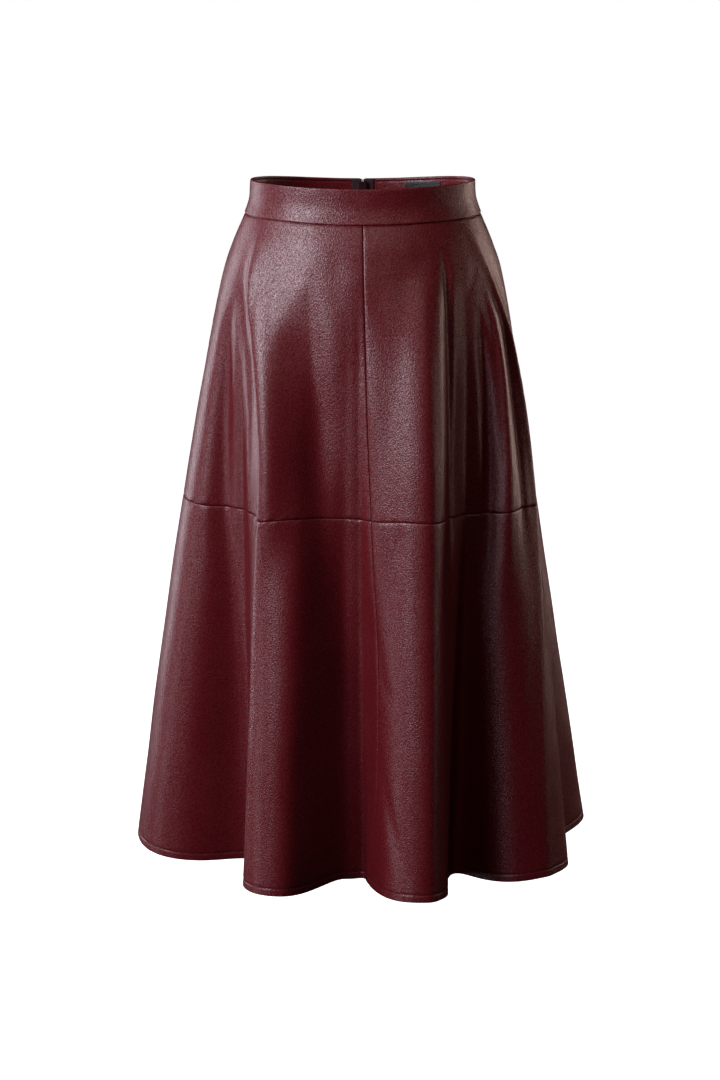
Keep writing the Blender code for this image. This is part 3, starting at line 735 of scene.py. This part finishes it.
def band_shares(share_down):
    """From the zip's opening at the centre back, round the front, and back to it."""
    opening = np.interp(share_down, [row[0] for row in BAND_OPENING], [row[1] for row in BAND_OPENING])
    width = girth(band_point(share_down, np.linspace(0.5, 1.5, 400)))
    steps = seam_spaced(width - opening, count=BAND_COLUMNS) + 0.5 * opening
    return 0.5 + steps / width


def band_grid(rows):
    """Points and shares of the waistband's outside, at shares of its height."""
    shares = np.array([band_shares(row) for row in rows])
    points = np.array([band_point(row, share) for row, share in zip(rows, shares)])
    return points, shares


def make_band():
    """The outer band, with its top edge rolled over to the inside."""
    close = 1.0 - BAND_EDGE * np.array((5.0,) + EDGE_STEPS[::-1])       # rows close to the waist seam
    rows = np.concatenate([np.linspace(BAND_FACE_START, 0.9, 22), close])
    points, shares = band_grid(rows)
    normals = outward(points, closed=False)
    from_seam = (1.0 - rows)[:, None] * BAND_HEIGHT + 0.0 * shares
    height = seam_heights(from_seam, *BAND_SINK)
    height += pucker(shares * girth(points[0]), from_seam, *BAND_PUCKER)
    height += 0.25 * np.sin(14.0 * math.pi * shares + 1.0) * np.sin(math.pi * rows)[:, None]
    height += 0.15 * np.sin(38.0 * math.pi * shares) * np.sin(2.0 * math.pi * rows)[:, None]
    points = points + height[..., None] * normals
    normals = outward(points, closed=False)
    up = np.cross(np.gradient(points[0], axis=0), normals[0])
    up /= np.linalg.norm(up, axis=-1)[:, None]
    up *= np.sign(up[:, 2:3])
    centre = points[0] - BAND_ROLL * normals[0]
    layers = []
    for radius in (BAND_ROLL, BAND_ROLL - LEATHER):
        tail = [centre - radius * normals[0] - down * up for down in TAIL_ROWS]
        roll = [centre + radius * (math.cos(t) * normals[0] + math.sin(t) * up)
                for t in np.radians(ROLL_ANGLES)]
        layers.append(np.array(tail + roll))
    outside = np.concatenate([layers[0], points])
    inside = np.concatenate([layers[1], points - LEATHER * normals])
    slots = np.ones(len(outside) - 1, np.int32)
    thing, width, length = shell("waistband_leather", outside, inside, [LEATHER_FACE, LEATHER_BACK], slots)
    stand_for(thing, "waistband")


def make_facing():
    """The inner band, seamed to the outer one just below the rolled edge."""
    first = FACING_START / BAND_HEIGHT
    rows = np.concatenate([[first, first + 0.008, first + 0.02], np.linspace(first + 0.05, 0.96, 20),
                           [0.972, 0.98]])
    points, shares = band_grid(rows)
    normals = outward(points, closed=False)
    from_top = (rows - first)[:, None] * BAND_HEIGHT + 0.0 * shares
    depth = FACING_DEPTH - FACING_ROUND * np.exp(-(from_top / 1.2) ** 2)
    ripple = pucker(shares * girth(points[0]), from_top, *FACING_PUCKER)
    inside = points - (depth + ripple)[..., None] * normals
    outside = points - (depth - LEATHER)[..., None] * normals
    thing, width, length = shell("waistband_facing_leather", outside, inside, [LEATHER_FACE])
    stand_for(thing, "waistband_facing")


def make_label():
    """A blank satin label, stitched flat inside the back of the waist."""
    shares = np.linspace(*LABEL_SHARES, 40)
    points = np.array([band_point(row, shares) for row in np.linspace(*LABEL_ROWS, 12)])
    normals = outward(points, closed=False)
    across = np.linspace(0.0, 1.0, len(shares))
    puff = 0.25 * np.sin(math.pi * across) * np.sin(3.1 * across + 1.0)
    inside = points - (LABEL_DEPTH + puff)[None, :, None] * normals
    thing, width, length = shell("blank_label", inside + LABEL * normals, inside, [SATIN])
    stand_for(thing, "label")


make_band()
make_facing()
make_label()


# ---------------------------------------------------------------------------
# What repeats: stitches and the turns of the coil

def repeating_tree(name, sizes, make_shape, along, out):
    """A tree that sets a shape along a path, with its along axis down the path and its out axis outwards."""
    tree = bpy.data.node_groups.new(name, "GeometryNodeTree")
    kinds = [("Path", "Geometry"), ("Pitch", "Float")] + [(size, "Float") for size in sizes]
    for socket, kind in kinds + [("Material", "Material")]:
        tree.interface.new_socket(socket, in_out="INPUT", socket_type="NodeSocket" + kind)
    tree.interface.new_socket("Row", in_out="OUTPUT", socket_type="NodeSocketGeometry")
    given = add(tree, "NodeGroupInput").outputs
    curve = add(tree, "GeometryNodeMeshToCurve", {"Mesh": given["Path"]}).outputs["Curve"]
    spaced = add(tree, "GeometryNodeResampleCurve", {"Curve": curve, "Length": given["Pitch"]},
                 mode="LENGTH")
    shape, scale = make_shape(tree, given)
    smooth = add(tree, "GeometryNodeSetShadeSmooth", {"Geometry": shape})
    tangent = add(tree, "GeometryNodeInputTangent").outputs["Tangent"]
    outwards = add(tree, "GeometryNodeInputNamedAttribute", {"Name": "outward"}, data_type="FLOAT_VECTOR")
    down_path = add(tree, "FunctionNodeAlignRotationToVector", {"Vector": tangent}, axis=along)
    upright = add(tree, "FunctionNodeAlignRotationToVector",
                  {"Rotation": down_path.outputs["Rotation"], "Vector": outwards.outputs["Attribute"]},
                  axis=out, pivot_axis=along)
    row = add(tree, "GeometryNodeInstanceOnPoints",
              {"Points": spaced.outputs["Curve"], "Instance": smooth.outputs["Geometry"],
               "Rotation": upright.outputs["Rotation"], "Scale": scale})
    real = add(tree, "GeometryNodeRealizeInstances", {"Geometry": row.outputs["Instances"]})
    dyed = add(tree, "GeometryNodeSetMaterial", {"Geometry": real.outputs["Geometry"],
                                                 "Material": given["Material"]})
    add(tree, "NodeGroupOutput", {"Row": dyed.outputs["Geometry"]})
    return tree


def stitch_shape(tree, given):
    """One stitch: a bead drawn out along the seam."""
    bead = add(tree, "GeometryNodeMeshIcoSphere", {"Radius": 0.5, "Subdivisions": 2})
    size = add(tree, "ShaderNodeCombineXYZ", {"X": given["Length"], "Y": given["Thickness"],
                                              "Z": given["Thickness"]})
    return bead.outputs["Mesh"], size.outputs["Vector"]


def turn_shape(tree, given):
    """One turn of nylon wire: an oval that leans a little down the zip."""
    oval = add(tree, "GeometryNodeCurvePrimitiveCircle", {"Resolution": 18, "Radius": 1.0})
    size = add(tree, "ShaderNodeCombineXYZ", {"X": given["Half width"], "Y": given["Half depth"], "Z": 1.0})
    lean = add(tree, "ShaderNodeCombineXYZ", {"Y": given["Lean"]})
    turn = add(tree, "GeometryNodeTransform", {"Geometry": oval.outputs["Curve"],
                                               "Rotation": lean.outputs["Vector"],
                                               "Scale": size.outputs["Vector"]})
    wire = add(tree, "GeometryNodeCurvePrimitiveCircle", {"Resolution": 7, "Radius": given["Wire"]})
    solid = add(tree, "GeometryNodeCurveToMesh", {"Curve": turn.outputs["Geometry"],
                                                  "Profile Curve": wire.outputs["Curve"]})
    return solid.outputs["Mesh"], (1.0, 1.0, 1.0)


def along_paths(name, tree, paths, normals, **values):
    """Run a tree on paths that lie on the cloth, and keep what it makes as one plain mesh."""
    points, outs, edges = [], [], []
    for path, normal in zip(paths, normals):
        start = len(points)
        points.extend((path * MM).tolist())
        outs.extend(normal.tolist())
        edges.extend((start + i, start + i + 1) for i in range(len(path) - 1))
    mesh = bpy.data.meshes.new(name)
    mesh.from_pydata(points, edges, [])
    layer = mesh.attributes.new("outward", "FLOAT_VECTOR", "POINT")
    layer.data.foreach_set("vector", np.array(outs, np.float32).ravel())
    guide = show(name + "_guide", mesh)
    modifier = guide.modifiers.new("repeats", "NODES")
    modifier.node_group = tree
    identifiers = {item.name: item.identifier for item in tree.interface.items_tree
                   if item.in_out == "INPUT"}
    for key, value in values.items():
        modifier[identifiers[key.replace("_", " ")]] = value
    evaluated = guide.evaluated_get(bpy.context.evaluated_depsgraph_get())
    thing = show(name, bpy.data.meshes.new_from_object(evaluated))
    bpy.data.objects.remove(guide)
    return thing


def hem_stitches():
    """The topstitching that holds the hem's turning."""
    paths, outs = [], []
    for node, (face, _, normals, downs) in PANELS.items():
        if node.startswith("lower"):
            row = int(np.argmin(np.abs(downs[:, 0] - (CLOTH_LENGTH - HEM_STITCH))))
            paths.append(face[row, 4:-4] + STITCH_ABOVE * normals[row, 4:-4])
            outs.append(normals[row, 4:-4])
    tree = repeating_tree("stitch row", ("Length", "Thickness"), stitch_shape, "X", "Z")
    thing = along_paths("hem_topstitching", tree, paths, outs, Pitch=STITCH_PITCH * MM,
                        Length=STITCH_LENGTH * MM, Thickness=STITCH_THREAD * MM, Material=THREAD)
    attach(thing, "skirt")


hem_stitches()


# ---------------------------------------------------------------------------
# The zip

def centre_back(start, end):
    """Places down the centre back: the surface, the level on it, and the tapes' depth inside it."""
    places = [(band_point, level, ZIP_DEPTHS[0]) for level in np.arange(start, 0.96, 0.05)]
    places += [(skirt_point, level, ZIP_DEPTHS[1]) for level in np.arange(3.0, end - 1.0, 4.0)]
    return places + [(skirt_point, end, ZIP_DEPTHS[1])]


def strip_grid(places, distances):
    """A grid down the centre back at distances to the wearer's left of the centre."""
    rows = []
    for surface, level, _ in places:
        pair = surface(level, np.array([0.499, 0.501]))
        rows.append(surface(level, 0.5 - np.asarray(distances) * 0.002 / (pair[0][0] - pair[1][0])))
    points = np.array(rows)
    normals = outward(points, closed=False)
    depths = np.array([place[2] for place in places])[:, None, None]
    return points - depths * normals, normals


def make_tape(side, near, far):
    """One woven tape, edge-stitched flat against the cloth inside the centre back."""
    outside, normals = strip_grid(centre_back(TAPE_RISE, ZIP_END), np.linspace(near, far, 13))
    down = np.arange(len(outside))[:, None]
    ripple = 0.1 * np.sin(0.9 * down + 0.3 * near)
    outside = outside + ripple[..., None] * normals
    thing, width, length = shell("zip_tape_" + side + "_woven", outside, outside - TAPE * normals,
                                 [TAPE_CLOTH])
    stand_for(thing, "zip_tape_" + side)


def make_coil():
    """Two chains of turns, the one a half pitch below the other so that they mesh."""
    tree = repeating_tree("coil turns", ("Half width", "Half depth", "Wire", "Lean"), turn_shape, "Z", "Y")
    places = centre_back(COIL_START, ZIP_END - TAPE_WIDTH)
    middle, normals = strip_grid(places, [COIL_APART, 0.0, -COIL_APART])
    chains = []
    for column, lean, later in ((1, COIL_LEAN, 0.0), (2, -COIL_LEAN, 0.5)):
        beside = 0.5 * (middle[:, column - 1] + middle[:, column])
        path = beside - COIL_UNDER * normals[:, 1]
        path = path + later * COIL_PITCH * np.array([0.0, 0.0, -1.0])
        chains.append(along_paths("coil_chain_" + str(column), tree, [path], [normals[:, 1]],
                                  Pitch=COIL_PITCH * MM, Half_width=COIL_SIZE[0] * MM,
                                  Half_depth=COIL_SIZE[1] * MM, Wire=COIL_WIRE * MM, Lean=lean,
                                  Material=NYLON))
    for chain in chains:
        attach(chain, "skirt")
    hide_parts("zip_coil")


make_tape("left", TAPE_SLIT_HALF + TAPE_WIDTH, TAPE_SLIT_HALF)
make_tape("right", -TAPE_SLIT_HALF, -TAPE_SLIT_HALF - TAPE_WIDTH)
make_coil()

for node in ("zip_slider", "zip_pull"):
    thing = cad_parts[node]
    thing.data.materials.clear()
    thing.data.materials.append(ENAMEL)


# ---------------------------------------------------------------------------
# Floor, light and camera

FLOOR = -1.05               # height in metres, below the hem
FLOOR_HALF = 400.0
CAMERA_PLACE = (-0.0032, -2.9, 0.322)
CAMERA_PITCH = math.radians(14.089)         # down from level
FOCAL = 83.89               # millimetres
SURROUND_LIGHT = 0.005
WHITE = (1.0, 1.0, 1.0, 1.0)
MIDDLE = Vector((0.0, 0.0, -0.38))          # where the lights point

# softbox, turn and rise in degrees, distance, width and height in metres, power, colour
LIGHTS = (
    ("key", -50.0, 29.0, 3.0, 1.0, 1.4, 80.0, "#f5f4ff"),
    ("front left", -34.0, 10.0, 3.0, 0.5, 1.2, 6.0, "#f5f4ff"),
    ("left top", -80.0, 56.0, 2.2, 1.1, 0.8, 14.0, "#f5f4ff"),
    ("low left", -80.0, -10.0, 3.0, 0.7, 1.2, 9.0, "#f5f4ff"),
    ("left rim", -124.0, 6.0, 3.0, 0.7, 2.0, 35.0, "#f5f4ff"),
    ("front top", 10.0, 48.0, 3.0, 1.2, 0.9, 9.0, "#ffeee8"),
    ("right", 88.0, 8.0, 3.0, 0.6, 1.4, 8.0, "#ffd8c8"),
    ("right rim", 126.0, 8.0, 3.0, 0.6, 1.6, 22.0, "#ffdccf"),
)


def make_floor():
    """A plain white floor that neither shades nor lights the skirt."""
    floor_material, _, shader, _ = new_material("pale floor paint")
    feed(shader, {"Base Color": (0.9, 0.9, 0.9, 1.0), "Roughness": 0.9,
                  "Emission Color": WHITE, "Emission Strength": 1.0})
    mesh = bpy.data.meshes.new("floor")
    corners = [(x * FLOOR_HALF, y * FLOOR_HALF, FLOOR) for x, y in ((-1, -1), (1, -1), (1, 1), (-1, 1))]
    mesh.from_pydata(corners, [], [(0, 1, 2, 3)])
    mesh.materials.append(floor_material)
    floor = show("floor", mesh)
    floor.visible_diffuse = False
    floor.visible_glossy = False


def softbox(name, turn, rise, away, width, height, power, colour):
    """A softbox aimed at the skirt's middle; turn is from the front, positive to the viewer's right."""
    light = bpy.data.lights.new(name, "AREA")
    light.shape = "RECTANGLE"
    light.size, light.size_y = width, height
    light.energy = power
    light.color = linear(colour)[:3]
    thing = show(name, light)
    turn, rise = math.radians(turn), math.radians(rise)
    across = Vector((math.sin(turn) * math.cos(rise), -math.cos(turn) * math.cos(rise), math.sin(rise)))
    thing.location = MIDDLE + away * across
    thing.rotation_euler = across.to_track_quat("Z", "Y").to_euler()


def make_camera():
    """A long lens in front, a little above the waist and looking down."""
    camera = bpy.data.cameras.new("camera")
    camera.sensor_width = 36.0
    camera.lens = FOCAL
    thing = show("camera", camera)
    thing.location = CAMERA_PLACE
    thing.rotation_euler = (math.radians(90.0) - CAMERA_PITCH, 0.0, 0.0)
    bpy.context.scene.camera = thing


def make_world():
    """A white surround to look at, which gives the leather almost no light."""
    world = bpy.data.worlds.new("studio")
    world.use_nodes = True
    tree = world.node_tree
    tree.nodes.clear()
    dim = add(tree, "ShaderNodeBackground", {"Color": WHITE, "Strength": SURROUND_LIGHT})
    bright = add(tree, "ShaderNodeBackground", {"Color": WHITE, "Strength": 1.0})
    path = add(tree, "ShaderNodeLightPath")
    mix = add(tree, "ShaderNodeMixShader", {0: path.outputs["Is Camera Ray"], 1: dim.outputs["Background"],
                                            2: bright.outputs["Background"]})
    add(tree, "ShaderNodeOutputWorld", {"Surface": mix.outputs["Shader"]})
    bpy.context.scene.world = world


make_floor()
make_camera()
make_world()
for row in LIGHTS:
    softbox(*row)
bpy.context.scene.view_settings.view_transform = "Standard"
